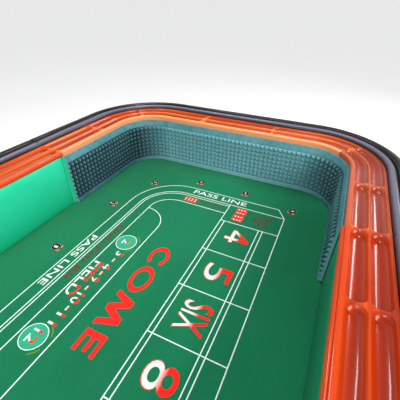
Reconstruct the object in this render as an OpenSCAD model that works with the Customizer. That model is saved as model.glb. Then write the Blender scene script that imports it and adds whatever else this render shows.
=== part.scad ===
// Casino craps table, double ended, in millimetres.
// Origin on the floor under the middle of the table. +X runs along the table,
// +Y points to the dealers' side, +Z is up.

/* [Tub] */
// Inside length of the tub, between the edges of the chip rail
tub_l = 3286; // [3000:2:3600]
// Inside width of the tub, between the edges of the chip rail
tub_w = 934; // [860:2:1100]
// Inside corner radius of the chip rail
tub_r = 145; // [130:1:160]
// Height of the playing surface above the floor
felt_z = 718; // [700:1:760]
// Thickness of the layout cloth
felt_t = 3; // [2:0.5:5]
// Thickness of the plywood deck
deck_t = 25; // [18:1:30]
// Thickness of the bent and flat plywood walls
wall_t = 18; // [15:1:22]
// Thickness of the padded vinyl panels on the side walls
vinyl_t = 6; // [4:1:8]
// Distance the apron reaches below the deck
apron_drop = 115; // [100:1:140]

/* [Bumper rubber] */
// Height of the bumper rubber above the cloth
rubber_h = 193; // [180:1:210]
// How far the bumper rubber stands proud of the chip rail's edge
rubber_proud = 21; // [16:1:26]
// Height of the bumper rubber's smooth top band, which leans back to the rail
rubber_band = 34; // [30:1:45]

/* [Chip rail] */
// Width of the wooden chip rail
rail_w = 104; // [100:1:110]
// Thickness of the wooden chip rail
rail_t = 38; // [34:1:44]
// Height of the chip rail's top above the cloth
rail_h = 212; // [200:1:230]
// Radius of a chip groove
groove_r = 21; // [20:0.5:22]
// Width of a chip groove at the rail's top
groove_w = 40; // [36:1:40]
// Width of the flat lip beside the inner groove
lip_w = 13; // [10:1:16]
// Width of the ridge between the two grooves
ridge_w = 4; // [3:1:6]
// Distance from the middle of the table to the joints in the long rails
rail_joint = 1161; // [1100:1:1200]
// Number of chip bays in half of a long rail
rail_bays = 5; // [4:1:6]
// Distance from the middle of an end to the joints in the end rail
end_joint = 157; // [120:1:200]

/* [Armrest] */
// Width of the padded armrest
pad_w = 72; // [60:1:110]
// Height of the armrest pad
pad_h = 56; // [50:1:64]
// Thickness of the plywood under the rail and the armrest
subrail_t = 18; // [15:1:22]

/* [Legs] */
// Side of the square block at the top of a leg
leg_block = 120; // [110:1:130]
// Distance of the legs' middle from the middle of the table, lengthways
leg_x = 1250; // [1100:1:1350]
// Diameter of a levelling foot's pad
foot_d = 64; // [50:1:80]
// How far a levelling foot screws out
foot_travel = 20; // [10:1:30]

/* [Cash drop] */
// Distance of the bill slot from the middle of the table, lengthways
slot_x = 150; // [120:1:200]
// Length of the bill slot
slot_l = 80; // [70:1:90]
// Width of the bill slot
slot_w = 14; // [12:1:16]
// Length of the drop box
box_l = 240; // [220:1:260]
// Depth of the drop box, front to back
box_d = 190; // [180:1:210]
// Height of the drop box
box_h = 200; // [160:1:220]
// Thickness of the drop box's sheet steel
box_t = 2; // [1.5:0.5:3]

/* [Hidden] */
$fn = 96;
hx = tub_l / 2;
hy = tub_w / 2;
corner_x = hx - tub_r;
corner_y = hy - tub_r;
wall_in = vinyl_t;
wall_out = vinyl_t + wall_t;
deck_top = felt_z - felt_t;
deck_z = deck_top - deck_t;
apron_z = deck_z - apron_drop;
rail_top = felt_z + rail_h;
rail_z = rail_top - rail_t;
subrail_z = rail_z - subrail_t;
subrail_w = rail_w + pad_w - 8;
groove_a = lip_w + groove_w / 2;
groove_b = groove_a + groove_w + ridge_w;
groove_lift = sqrt(groove_r * groove_r - groove_w * groove_w / 4);
bay = rail_joint / rail_bays;
divider_l = groove_w / 2 + 2;
divider_h = 17;
divider_root = 0.6;
scoop_r = groove_r + 1;
lip_r = 5;
cap_r = 7.5;
trim_w = 12;
gap = 0.5;
top_proud = 4;
panel_proud = 5;
panel_top = rail_top - 2 * cap_r - gap;
beam_t = 40;
beam_h = 108;
beam_y = hy + wall_in - gap - beam_t;
block_h = 210;
leg_y = beam_y - leg_block / 2;
block_z = deck_z - block_h;
foot_h = 12;
leg_z = foot_h + 2;
stem_r = 6;
stem_l = 70;
stem_fit = 0.05;
vase_low = 0.18;
vase_mid = 0.66;
vase_high = 0.82;
vase_cuts = 28;
bolt_x = 28;
bolt_d = 10;
bolt_play = 1;
bolt_l = 95;
slot_y = hy - 60;
plate_l = slot_l + 44;
plate_w = 44;
chute_t = 3;
chute_w = 30;
box_top = apron_z - 25;
box_z = box_top - box_h;
box_y = slot_y - 40;
runner_d = beam_y - 2 - box_y + box_d / 2;
corbel_d = 120;
corbel_t = 26;

// ---- placing helpers -------------------------------------------------------
// A profile is drawn with its x as the distance outwards from the chip rail's
// inner edge and its y as the height above the floor.

// Puts a piece made at the +X, +Y quarter into the quarter (sx, sy)
module in_quarter(sx, sy) {
    mirror([sx < 0 ? 1 : 0, 0, 0])
        mirror([0, sy < 0 ? 1 : 0, 0])
            children();
}

// Profile run along the +Y side, from x0 to x1
module along_side(x0, x1) {
    translate([x0, hy, 0])
        rotate([90, 0, 90])
            linear_extrude(x1 - x0)
                children();
}

// Profile run along the +X end, from y0 to y1
module along_end(y0, y1) {
    translate([hx, y1, 0])
        rotate([90, 0, 0])
            linear_extrude(y1 - y0)
                children();
}

// Profile turned round the +X, +Y corner, from angle a0 to angle a1
module around_corner(a0, a1) {
    translate([corner_x, corner_y, 0])
        rotate([0, 0, a0])
            rotate_extrude(angle = a1 - a0)
                translate([tub_r, 0])
                    children();
}

// Profile wrapped round the whole +X end, back to x0 on both sides
module around_end(x0) {
    along_end(-corner_y, corner_y)
        children();
    for (sy = [-1, 1]) {
        in_quarter(1, sy)
            around_corner(0, 90)
                children();
        in_quarter(1, sy)
            along_side(x0, corner_x)
                children();
    }
}

// Plan of the tub, at a distance d outside the chip rail's inner edge
module tub_plan(d) {
    r = tub_r + d;
    square([2 * (hx + d), 2 * corner_y], center = true);
    square([2 * corner_x, 2 * (hy + d)], center = true);
    for (sx = [-1, 1], sy = [-1, 1])
        translate([sx * corner_x, sy * corner_y])
            circle(r);
}

// ---- deck and cloth --------------------------------------------------------

module deck_half(side) {
    translate([0, 0, deck_z])
        linear_extrude(deck_t)
            intersection() {
                tub_plan(wall_in - gap);
                translate([side < 0 ? -2 * hx : 0, -hy * 2])
                    square([2 * hx, 4 * hy]);
            }
}

module deck_panel_left() {
    color("burlywood")
        deck_half(-1);
}

module deck_panel_right() {
    color("burlywood")
        difference() {
            deck_half(1);
            translate([slot_x, slot_y, deck_z + deck_t / 2])
                cube([slot_l + 2 * chute_t + 1, chute_w + 1, 2 * deck_t], center = true);
        }
}

module layout_felt() {
    color("seagreen")
        translate([0, 0, deck_top])
            linear_extrude(felt_t)
                difference() {
                    tub_plan(wall_in - gap);
                    translate([slot_x, slot_y])
                        square([plate_l + 1, plate_w + 1], center = true);
                }
}

// ---- walls -----------------------------------------------------------------

module wall_profile() {
    translate([wall_in, apron_z])
        square([wall_t, rail_z - apron_z]);
}

module wall_end(sx) {
    color("saddlebrown")
        in_quarter(sx, 1)
            along_end(-corner_y, corner_y)
                wall_profile();
}

module wall_corner(sx, sy) {
    color("saddlebrown")
        in_quarter(sx, sy)
            around_corner(0, 90)
                wall_profile();
}

module wall_side(sy) {
    color("saddlebrown")
        in_quarter(1, sy)
            along_side(-corner_x, corner_x)
                wall_profile();
}

// ---- padded panels, caps and trim on the side walls ------------------------

// Section of what lines a wall: a slab under the rail, and a face of the given
// thickness that goes on up in front of the rail's edge
module lining_profile(proud, top) {
    translate([-proud, felt_z])
        square([proud - gap, top - felt_z]);
    translate([-gap, felt_z])
        square([vinyl_t + gap, rail_z - gap - felt_z]);
}

module vinyl_panel(sy) {
    span = rail_joint - trim_w - gap;
    color("mediumaquamarine")
        in_quarter(1, sy)
            along_side(-span, span)
                lining_profile(panel_proud, panel_top);
}

// Half-round wooden bead over the top of a vinyl panel, with round ends
module panel_cap(sy) {
    end_x = rail_joint - cap_r;
    color("orangered")
        in_quarter(1, sy)
            intersection() {
                translate([0, hy, rail_top - cap_r]) {
                    rotate([0, 90, 0])
                        cylinder(r = cap_r, h = 2 * end_x, center = true);
                    for (sx = [-1, 1])
                        translate([sx * end_x, 0, 0])
                            sphere(cap_r);
                }
                translate([-hx, hy - 2 * cap_r, rail_z])
                    cube([2 * hx, 2 * cap_r, rail_t]);
            }
}

module trim_strips() {
    color("mediumseagreen")
        for (sx = [-1, 1], sy = [-1, 1])
            in_quarter(sx, sy)
                along_side(rail_joint - trim_w, rail_joint - gap)
                    lining_profile(panel_proud + 1, panel_top);
}

// ---- bumper rubber ---------------------------------------------------------

module rubber_profile() {
    top = felt_z + rubber_h;
    polygon([
        [-rubber_proud, felt_z],
        [-rubber_proud, top - rubber_band],
        [-top_proud, top],
        [-gap, top],
        [-gap, rail_z - gap],
        [wall_in, rail_z - gap],
        [wall_in, felt_z]
    ]);
}

module rubber_bumper(sx) {
    color("cadetblue")
        in_quarter(sx, 1)
            around_end(rail_joint)
                rubber_profile();
}

// ---- chip rail -------------------------------------------------------------

// Section of the rail's board, with its inner top edge rounded
module rail_blank() {
    translate([0, rail_z])
        square([rail_w, rail_t - lip_r]);
    translate([lip_r, rail_z])
        square([rail_w - lip_r, rail_t]);
    translate([lip_r, rail_top - lip_r])
        circle(lip_r);
}

module rail_grooved() {
    difference() {
        rail_blank();
        for (o = [groove_a, groove_b])
            translate([o, rail_top + groove_lift])
                circle(groove_r);
    }
}

// Half of a groove's divider, standing on its crest at the origin and scooped
// out by a ball where the groove, that bends at radius bend, begins
module half_divider(bend = 0) {
    turn = bend > 0 ? divider_l / bend * 180 / PI : 0;
    reach = bend > 0 ? bend * sin(turn) : divider_l;
    side = groove_w / 2 + divider_root;
    difference() {
        translate([0, -side, rail_top - divider_h])
            cube([reach, 2 * side, divider_h]);
        translate([reach, bend * (1 - cos(turn)), rail_top + groove_lift])
            rotate([0, -90, 0])
                sphere(scoop_r);
    }
}

// Half dividers of both grooves on the +Y side, from the crest at x towards dir
module side_divider(x, dir) {
    for (o = [groove_a, groove_b])
        translate([x, hy + o, 0])
            rotate([0, 0, dir > 0 ? 0 : 180])
                half_divider();
}

// Half dividers of both grooves on the +X end, from the crest at y towards dir
module end_divider(y, dir) {
    for (o = [groove_a, groove_b])
        translate([hx + o, y, 0])
            rotate([0, 0, 90 * dir])
                half_divider();
}

// Half dividers of both grooves at the corner's mitre, towards the +Y side
module mitre_divider() {
    for (o = [groove_a, groove_b])
        translate([corner_x, corner_y, 0])
            rotate([0, 0, 45])
                translate([tub_r + o, 0, 0])
                    rotate([0, 0, 90])
                        half_divider(tub_r + o);
}

// Swaps the half of a corner next to the side with the half next to the end
module corner_swapped() {
    translate([corner_x, corner_y, 0])
        mirror([1, -1, 0])
            translate([-corner_x, -corner_y, 0])
                children();
}

module rail_end(sx) {
    color("chocolate")
        in_quarter(sx, 1)
            union() {
                along_end(-end_joint, end_joint)
                    rail_grooved();
                end_divider(-end_joint, 1);
                end_divider(end_joint, -1);
            }
}

// From the end rail's joint to the mitre in the middle of the corner
module rail_elbow(sx, sy) {
    color("chocolate")
        in_quarter(sx, sy)
            union() {
                along_end(end_joint, corner_y)
                    rail_grooved();
                around_corner(0, 45)
                    rail_grooved();
                end_divider(end_joint, 1);
                corner_swapped()
                    mitre_divider();
            }
}

// From the mitre in the corner to the long rail's joint
module rail_turn(sx, sy) {
    color("chocolate")
        in_quarter(sx, sy)
            union() {
                around_corner(45, 90)
                    rail_grooved();
                along_side(rail_joint, corner_x)
                    rail_grooved();
                mitre_divider();
                side_divider(rail_joint + bay, 1);
                side_divider(rail_joint + bay, -1);
                side_divider(rail_joint, 1);
            }
}

module rail_side(sy) {
    color("chocolate")
        in_quarter(1, sy)
            union() {
                along_side(-rail_joint, rail_joint)
                    rail_grooved();
                for (i = [-rail_bays : rail_bays - 1]) {
                    side_divider(i * bay, 1);
                    side_divider((i + 1) * bay, -1);
                }
            }
}

// ---- plywood under the rail, and the armrest -------------------------------

module subrail_profile() {
    translate([wall_out, subrail_z])
        square([subrail_w - wall_out, subrail_t]);
}

module subrail_u(sx) {
    color("peru")
        in_quarter(sx, 1)
            around_end(rail_joint)
                subrail_profile();
}

module subrail_side(sy) {
    color("peru")
        in_quarter(1, sy)
            along_side(-rail_joint, rail_joint)
                subrail_profile();
}

module armrest_profile() {
    r_out = pad_h / 2;
    r_in = pad_h / 3;
    pad_o = rail_w + gap;
    translate([pad_o, rail_z])
        square([pad_w - r_out, pad_h - r_in]);
    translate([pad_o + r_in, rail_z])
        square([pad_w - r_in - r_out, pad_h]);
    translate([pad_o + r_in, rail_z + pad_h - r_in])
        circle(r_in);
    translate([pad_o + pad_w - r_out, rail_z + r_out])
        circle(r_out);
}

module armrest_u(sx) {
    color("#1c1c1f")
        in_quarter(sx, 1)
            around_end(rail_joint)
                armrest_profile();
}

module armrest_side(sy) {
    color("#1c1c1f")
        in_quarter(1, sy)
            along_side(-rail_joint, rail_joint)
                armrest_profile();
}

// Wooden corbel that holds up the plywood under the rail
module corbel() {
    rotate([90, 0, 0])
        translate([0, 0, -corbel_t / 2])
            linear_extrude(corbel_t)
                difference() {
                    square([corbel_d, corbel_d]);
                    translate([corbel_d, 0])
                        circle(corbel_d * 0.8);
                }
}

module rail_brackets() {
    color("saddlebrown")
        for (s = [-1, 1]) {
            for (x = [-2 : 2])
                in_quarter(1, s)
                    translate([x * rail_joint / 2, hy + wall_out, subrail_z - corbel_d])
                        rotate([0, 0, 90])
                            corbel();
            for (y = [-1, 1])
                in_quarter(s, 1)
                    translate([hx + wall_out, y * end_joint, subrail_z - corbel_d])
                        corbel();
        }
}

// ---- moulding round the foot of the apron ----------------------------------

module moulding_profile() {
    face_w = 24;
    face_h = 46;
    cove_r = 12;
    bead_r = 7;
    foot_z = apron_z - 6;
    difference() {
        union() {
            translate([wall_out, foot_z])
                square([face_w, face_h]);
            translate([wall_out, foot_z])
                square([face_w / 2, face_h + cove_r]);
            translate([wall_out + face_w, foot_z + 2 * bead_r])
                circle(bead_r);
        }
        translate([wall_out + face_w, foot_z + face_h + cove_r])
            circle(cove_r);
    }
}

module base_moulding_u(sx) {
    color("sienna")
        in_quarter(sx, 1)
            around_end(rail_joint)
                moulding_profile();
}

module base_moulding_side(sy) {
    color("sienna")
        in_quarter(1, sy)
            along_side(-rail_joint, rail_joint)
                moulding_profile();
}

// ---- underframe ------------------------------------------------------------

module long_beam(sy) {
    length = 2 * corner_x;
    color("tan")
        in_quarter(1, sy)
            difference() {
                translate([-length / 2, beam_y, deck_z - beam_h])
                    cube([length, beam_t, beam_h]);
                for (sx = [-1, 1], dx = [-bolt_x, bolt_x])
                    translate([sx * leg_x + dx, beam_y - 1, deck_z - beam_h / 2])
                        rotate([-90, 0, 0])
                            cylinder(d = bolt_d + bolt_play, h = beam_t + 2);
            }
}

module cross_beams() {
    outer_x = leg_x + leg_block / 2 + beam_t / 2;
    color("tan")
        for (x = [-outer_x, -outer_x / 3, outer_x / 3, outer_x])
            translate([x, 0, deck_z - beam_h / 2])
                cube([beam_t, 2 * beam_y, beam_h], center = true);
}

// Goes smoothly from a to b as s goes from 0 to 1
function eased(a, b, s) = a + (b - a) * (1 - cos(180 * s)) / 2;

// Radius of a leg's vase, as a share of half the block, at the share t of the
// turned height
function vase_r(t) =
    t < vase_mid
    ? eased(0.58, 1.02, pow((t - vase_low) / (vase_mid - vase_low), 1.3))
    : eased(1.02, 0.66, (t - vase_mid) / (vase_high - vase_mid));

// Turned leg with a square block, made about its own axis
module turned_leg() {
    h = block_z - leg_z;
    r = leg_block / 2;
    plinth_h = 0.10 * h;
    neck_r = 0.66 * r;
    bead_r = 0.028 * h;
    collar_h = 0.06 * h;
    difference() {
        union() {
            translate([-r, -r, block_z])
                cube([leg_block, leg_block, block_h]);
            // plinth and a bead above it
            translate([0, 0, leg_z])
                cylinder(r = 0.80 * r, h = plinth_h);
            translate([0, 0, leg_z + plinth_h])
                cylinder(r = neck_r, h = vase_low * h - plinth_h);
            rotate_extrude()
                translate([neck_r, leg_z + (plinth_h + vase_low * h) / 2])
                    circle(bead_r);
            // vase
            rotate_extrude()
                polygon(concat(
                    [[0, leg_z + vase_low * h]],
                    [
                        for (i = [0 : vase_cuts])
                            let (t = vase_low + (vase_high - vase_low) * i / vase_cuts)
                                [vase_r(t) * r, leg_z + t * h]
                    ],
                    [[0, leg_z + vase_high * h]]
                ));
            // neck, bead and collar under the block
            translate([0, 0, leg_z + vase_high * h])
                cylinder(r = neck_r, h = (1 - vase_high) * h);
            rotate_extrude()
                translate([neck_r, leg_z + vase_high * h + 2 * bead_r])
                    circle(bead_r);
            translate([0, 0, block_z - collar_h])
                cylinder(r = 0.86 * r, h = collar_h);
        }
        translate([0, 0, leg_z - 1])
            cylinder(r = stem_r + stem_fit, h = stem_l + foot_h);
        for (dx = [-bolt_x, bolt_x])
            translate([dx, r + 1, deck_z - beam_h / 2])
                rotate([90, 0, 0])
                    cylinder(d = bolt_d + bolt_play, h = bolt_l - beam_t + 6);
    }
}

module leg(sx, sy) {
    color("saddlebrown")
        in_quarter(sx, sy)
            translate([leg_x, leg_y, 0])
                turned_leg();
}

module foot(sx, sy) {
    color("silver")
        translate([sx * leg_x, sy * leg_y, 0])
            union() {
                cylinder(d = foot_d, h = 5);
                translate([0, 0, 5])
                    cylinder(d1 = foot_d, d2 = 30, h = foot_h - 6);
                translate([0, 0, foot_h - 1])
                    cylinder(r = stem_r, h = stem_l - 4);
            }
}

// Two bolts through the long beam into each leg block
module leg_bolts() {
    color("gray")
        for (sx = [-1, 1], sy = [-1, 1], dx = [-bolt_x, bolt_x])
            in_quarter(sx, sy)
                translate([leg_x + dx, beam_y + beam_t, deck_z - beam_h / 2])
                    rotate([90, 0, 0])
                        cylinder(d = bolt_d, h = bolt_l);
}

// ---- cash drop -------------------------------------------------------------

module bill_slot_plate() {
    screw_r = 2.2;
    screw_in = 10;
    color("gold")
        translate([slot_x, slot_y, deck_top])
            linear_extrude(felt_t)
                difference() {
                    square([plate_l, plate_w], center = true);
                    square([slot_l, slot_w], center = true);
                    for (s = [-1, 1])
                        translate([s * (plate_l / 2 - screw_in), 0])
                            circle(screw_r);
                }
}

module bill_chute() {
    bottom = box_top + 2;
    color("slategray")
        translate([slot_x, slot_y, bottom])
            linear_extrude(deck_top - bottom)
                difference() {
                    square([slot_l + 2 * chute_t, chute_w], center = true);
                    square([slot_l, chute_w - 2 * chute_t], center = true);
                }
}

// Pair of folded runners that hang from the deck and carry the drop box's flanges
module drop_box_runners() {
    lip = 16;
    sheet = 3;
    run_z = box_top - 2 * sheet - 1;
    color("slategray")
        for (s = [-1, 1])
            translate([slot_x, box_y - box_d / 2, 0])
                mirror([s < 0 ? 1 : 0, 0, 0])
                    translate([box_l / 2 + lip, 0, 0]) {
                        translate([0, 0, run_z])
                            cube([sheet, runner_d, deck_z - run_z]);
                        translate([sheet - lip, 0, run_z])
                            cube([lip - sheet, runner_d, sheet]);
                        translate([0, 0, deck_z - sheet])
                            cube([lip, runner_d, sheet]);
                    }
}

// Locked steel box with a slot in its lid, side flanges and a pull handle
module drop_box() {
    flange = 12;
    flange_t = 3;
    grip_l = 110;
    grip_d = 35;
    grip_t = 12;
    grip_bar = 10;
    grip_z = box_z + box_h * 0.55;
    color("dimgray")
        translate([slot_x, box_y, 0])
            difference() {
                union() {
                    translate([0, 0, box_z + box_h / 2])
                        cube([box_l, box_d, box_h], center = true);
                    translate([0, 0, box_top - flange_t / 2])
                        cube([box_l + 2 * flange, box_d, flange_t], center = true);
                    difference() {
                        translate([-grip_l / 2, box_d / 2 - 1, grip_z - grip_t / 2])
                            cube([grip_l, grip_d, grip_t]);
                        translate([grip_bar - grip_l / 2, box_d / 2, grip_z - grip_t])
                            cube([grip_l - 2 * grip_bar, grip_d - 1 - grip_bar, 2 * grip_t]);
                    }
                }
                translate([0, 0, box_z + box_h / 2])
                    cube([box_l - 2 * box_t, box_d - 2 * box_t, box_h - 2 * box_t], center = true);
                translate([0, slot_y - box_y, box_top])
                    cube([slot_l, chute_w - 2 * chute_t, 4 * box_t], center = true);
            }
}

// Flat paddle that pushes bills down the slot, with a knob above the cloth
module bill_paddle() {
    blade_l = slot_l - 6;
    blade_t = slot_w - 6;
    blade_h = 70;
    collar_h = 6;
    stem_d = 18;
    grip_h = 46;
    knob_r = 15;
    color("lightcyan")
        translate([slot_x, slot_y, 0]) {
            translate([0, 0, felt_z - blade_h / 2 + 1])
                cube([blade_l, blade_t, blade_h + 2], center = true);
            translate([0, 0, felt_z + 0.2 + collar_h / 2])
                cube([slot_l + 12, slot_w + 8, collar_h], center = true);
            translate([0, 0, felt_z + collar_h])
                cylinder(d = stem_d, h = grip_h);
            translate([0, 0, felt_z + collar_h + grip_h])
                sphere(knob_r);
        }
}

// ---- the parts -------------------------------------------------------------

deck_panel_left();
deck_panel_right();
layout_felt();
wall_end(-1);  // wall_end_left
wall_end(1);  // wall_end_right
wall_corner(-1, -1);  // wall_corner_left_player
wall_corner(-1, 1);  // wall_corner_left_dealer
wall_corner(1, -1);  // wall_corner_right_player
wall_corner(1, 1);  // wall_corner_right_dealer
wall_side(-1);  // wall_player
wall_side(1);  // wall_dealer
vinyl_panel(-1);  // vinyl_panel_player
vinyl_panel(1);  // vinyl_panel_dealer
panel_cap(-1);  // panel_cap_player
panel_cap(1);  // panel_cap_dealer
trim_strips();
rubber_bumper(-1);  // rubber_bumper_left
rubber_bumper(1);  // rubber_bumper_right
rail_end(-1);  // rail_end_left
rail_end(1);  // rail_end_right
rail_elbow(-1, -1);  // rail_elbow_left_player
rail_elbow(-1, 1);  // rail_elbow_left_dealer
rail_elbow(1, -1);  // rail_elbow_right_player
rail_elbow(1, 1);  // rail_elbow_right_dealer
rail_turn(-1, -1);  // rail_turn_left_player
rail_turn(-1, 1);  // rail_turn_left_dealer
rail_turn(1, -1);  // rail_turn_right_player
rail_turn(1, 1);  // rail_turn_right_dealer
rail_side(-1);  // rail_player
rail_side(1);  // rail_dealer
subrail_u(-1);  // subrail_left
subrail_u(1);  // subrail_right
subrail_side(-1);  // subrail_player
subrail_side(1);  // subrail_dealer
armrest_u(-1);  // armrest_left
armrest_u(1);  // armrest_right
armrest_side(-1);  // armrest_player
armrest_side(1);  // armrest_dealer
rail_brackets();
base_moulding_u(-1);  // base_moulding_left
base_moulding_u(1);  // base_moulding_right
base_moulding_side(-1);  // base_moulding_player
base_moulding_side(1);  // base_moulding_dealer
long_beam(-1);  // beam_player
long_beam(1);  // beam_dealer
cross_beams();
leg(-1, -1);  // leg_left_player
leg(-1, 1);  // leg_left_dealer
leg(1, -1);  // leg_right_player
leg(1, 1);  // leg_right_dealer
foot(-1, -1);  // foot_left_player
foot(-1, 1);  // foot_left_dealer
foot(1, -1);  // foot_right_player
foot(1, 1);  // foot_right_dealer
leg_bolts();
bill_slot_plate();
bill_chute();
drop_box_runners();
drop_box();
bill_paddle();
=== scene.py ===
import math

import bmesh
import bpy
from mathutils import Matrix, Vector, noise


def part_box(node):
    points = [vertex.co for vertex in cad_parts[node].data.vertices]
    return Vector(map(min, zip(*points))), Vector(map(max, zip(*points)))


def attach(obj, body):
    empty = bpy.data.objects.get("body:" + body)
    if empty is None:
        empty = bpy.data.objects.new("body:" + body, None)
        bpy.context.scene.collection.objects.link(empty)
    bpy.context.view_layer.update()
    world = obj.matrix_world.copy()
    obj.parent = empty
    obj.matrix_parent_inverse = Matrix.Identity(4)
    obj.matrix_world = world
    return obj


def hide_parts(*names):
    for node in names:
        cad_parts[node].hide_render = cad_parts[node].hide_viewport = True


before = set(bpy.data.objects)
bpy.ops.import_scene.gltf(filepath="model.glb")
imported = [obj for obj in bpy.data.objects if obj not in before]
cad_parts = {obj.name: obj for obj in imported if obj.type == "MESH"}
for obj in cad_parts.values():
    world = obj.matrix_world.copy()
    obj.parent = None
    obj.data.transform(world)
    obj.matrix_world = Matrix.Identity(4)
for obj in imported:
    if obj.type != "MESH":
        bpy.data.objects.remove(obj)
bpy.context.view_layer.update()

MM = 0.001

# ---- the table's own measures, in metres, read from the frame ---------------
CLOTH_LOW, CLOTH_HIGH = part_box("layout_felt")
BUMPER_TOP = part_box("rubber_bumper_left")[1][2]
PANEL_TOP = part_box("vinyl_panel_player")[1][2]
PAD_LOW, PAD_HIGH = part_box("armrest_right")
RAIL_LOW, RAIL_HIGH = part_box("rail_end_right")
CORNER_LOW, CORNER_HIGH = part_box("wall_corner_right_dealer")
FELT_Z = CLOTH_HIGH[2]
EDGE_X = RAIL_LOW[0]                      # inner edge of the chip rail at the ends
EDGE_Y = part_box("rail_dealer")[0][1]      # inner edge of the chip rail at the sides
CORNER_X = CORNER_LOW[0]                  # centre of the round corners
CORNER_Y = CORNER_LOW[1]
EDGE_R = EDGE_X - CORNER_X                # radius of the chip rail's inner edge round a corner
JOINT_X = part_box("rail_dealer")[1][0]     # where the side pieces meet those of the ends
RAIL_WIDTH = RAIL_HIGH[0] - EDGE_X
UNDER_RAIL = RAIL_LOW[2] - 0.0005         # top of the rubber and the panels behind their faces
GRAIN_RADIUS = EDGE_R + 0.05              # where the grain's length is measured round a corner


def rgb(r, g, b):
    """A screen colour, 0 to 255, as the linear colour that a shader takes."""
    def linear(c):
        return ((c / 255 + 0.055) / 1.055) ** 2.4 if c > 10 else c / 255 / 12.92

    return linear(r), linear(g), linear(b), 1.0


def scaled_colour(colour, factor, plus=0.0):
    """A linear colour made lighter or darker."""
    return tuple(min(1.0, c * factor + plus) for c in colour[:3]) + (1.0,)


# ---- shader helpers ---------------------------------------------------------
class Shade:
    """One material's node tree, with a short call for each kind of node."""

    def __init__(self, name):
        self.mat = bpy.data.materials.new(name)
        self.mat.use_nodes = True
        self.tree = self.mat.node_tree
        self.bsdf = self.tree.nodes["Principled BSDF"]
        self.place = self.node("ShaderNodeTexCoord").outputs["Object"]

    def put(self, value, socket):
        if isinstance(value, bpy.types.NodeSocket):
            self.tree.links.new(value, socket)
        else:
            socket.default_value = value

    def node(self, kind, inputs=(), **settings):
        """A node with these settings, and with a value or a link in each of these inputs."""
        made = self.tree.nodes.new(kind)
        for key, value in settings.items():
            setattr(made, key, value)
        for key, value in dict(inputs).items():
            self.put(value, made.inputs[key])
        return made

    def surface(self, **values):
        for key, value in values.items():
            self.put(value, self.bsdf.inputs[key.replace("_", " ")])

    def math(self, kind, a, b=0.0):
        return self.node("ShaderNodeMath", {0: a, 1: b}, operation=kind).outputs[0]

    def plus(self, a, b):
        return self.math("ADD", a, b)

    def minus(self, a, b):
        return self.math("SUBTRACT", a, b)

    def times(self, a, b):
        return self.math("MULTIPLY", a, b)

    def mix(self, share, a, b, kind="MIX"):
        inputs = {"Factor": share, "A": a, "B": b}
        return self.node("ShaderNodeMix", inputs, data_type="RGBA", blend_type=kind).outputs["Result"]

    def xyz(self, vector):
        return self.node("ShaderNodeSeparateXYZ", {0: vector}).outputs

    def vector(self, x, y, z):
        return self.node("ShaderNodeCombineXYZ", {0: x, 1: y, 2: z}).outputs[0]

    def scaled(self, vector, x, y, z):
        return self.node("ShaderNodeVectorMath", {0: vector, 1: (x, y, z)}, operation="MULTIPLY").outputs[0]

    def noise(self, vector, scale, detail=2.0, rough=0.5, warp=0.0):
        inputs = {"Vector": vector, "Scale": scale, "Detail": detail, "Roughness": rough, "Distortion": warp}
        return self.node("ShaderNodeTexNoise", inputs).outputs["Fac"]

    def cells(self, vector, scale, feature="F1"):
        inputs = {"Vector": vector, "Scale": scale}
        return self.node("ShaderNodeTexVoronoi", inputs, feature=feature).outputs["Distance"]

    def spread(self, value, low, high, to_low=0.0, to_high=1.0):
        inputs = {"Value": value, "From Min": low, "From Max": high, "To Min": to_low, "To Max": to_high}
        return self.node("ShaderNodeMapRange", inputs).outputs["Result"]

    def ramp(self, value, *stops):
        n = self.node("ShaderNodeValToRGB", {"Fac": value})
        points = n.color_ramp.elements
        while len(points) < len(stops):
            points.new(0.5)
        for point, (at, colour) in zip(points, stops):
            point.position = at
            point.color = colour
        return n.outputs["Color"]

    def bump(self, height, distance, strength=1.0, normal=None):
        inputs = {"Strength": strength, "Distance": distance, "Height": height}
        if normal is not None:
            inputs["Normal"] = normal
        return self.node("ShaderNodeBump", inputs).outputs["Normal"]

    def soft_edges(self, radius):
        return self.node("ShaderNodeBevel", {"Radius": radius}, samples=4).outputs["Normal"]

    def attribute(self, name):
        return self.node("ShaderNodeAttribute", attribute_name=name).outputs["Fac"]

    def along_ring(self):
        """Place on the table as length round the tub, distance out from the corners' centres and height."""
        x, y, z = self.xyz(self.place)
        ax = self.math("ABSOLUTE", x)
        ay = self.math("ABSOLUTE", y)
        dx = self.math("MAXIMUM", self.minus(ax, CORNER_X), 0.0)
        dy = self.math("MAXIMUM", self.minus(ay, CORNER_Y), 0.0)
        squares = self.plus(self.times(dx, dx), self.times(dy, dy))
        out = self.math("SQRT", squares)
        turn = self.times(self.math("ARCTAN2", dy, dx), GRAIN_RADIUS)
        side = self.minus(CORNER_X, self.math("MINIMUM", ax, CORNER_X))
        run = self.plus(self.math("MINIMUM", ay, CORNER_Y), side)
        length = self.times(self.plus(run, turn), self.math("SIGN", x))
        return self.vector(length, out, z)


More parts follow.
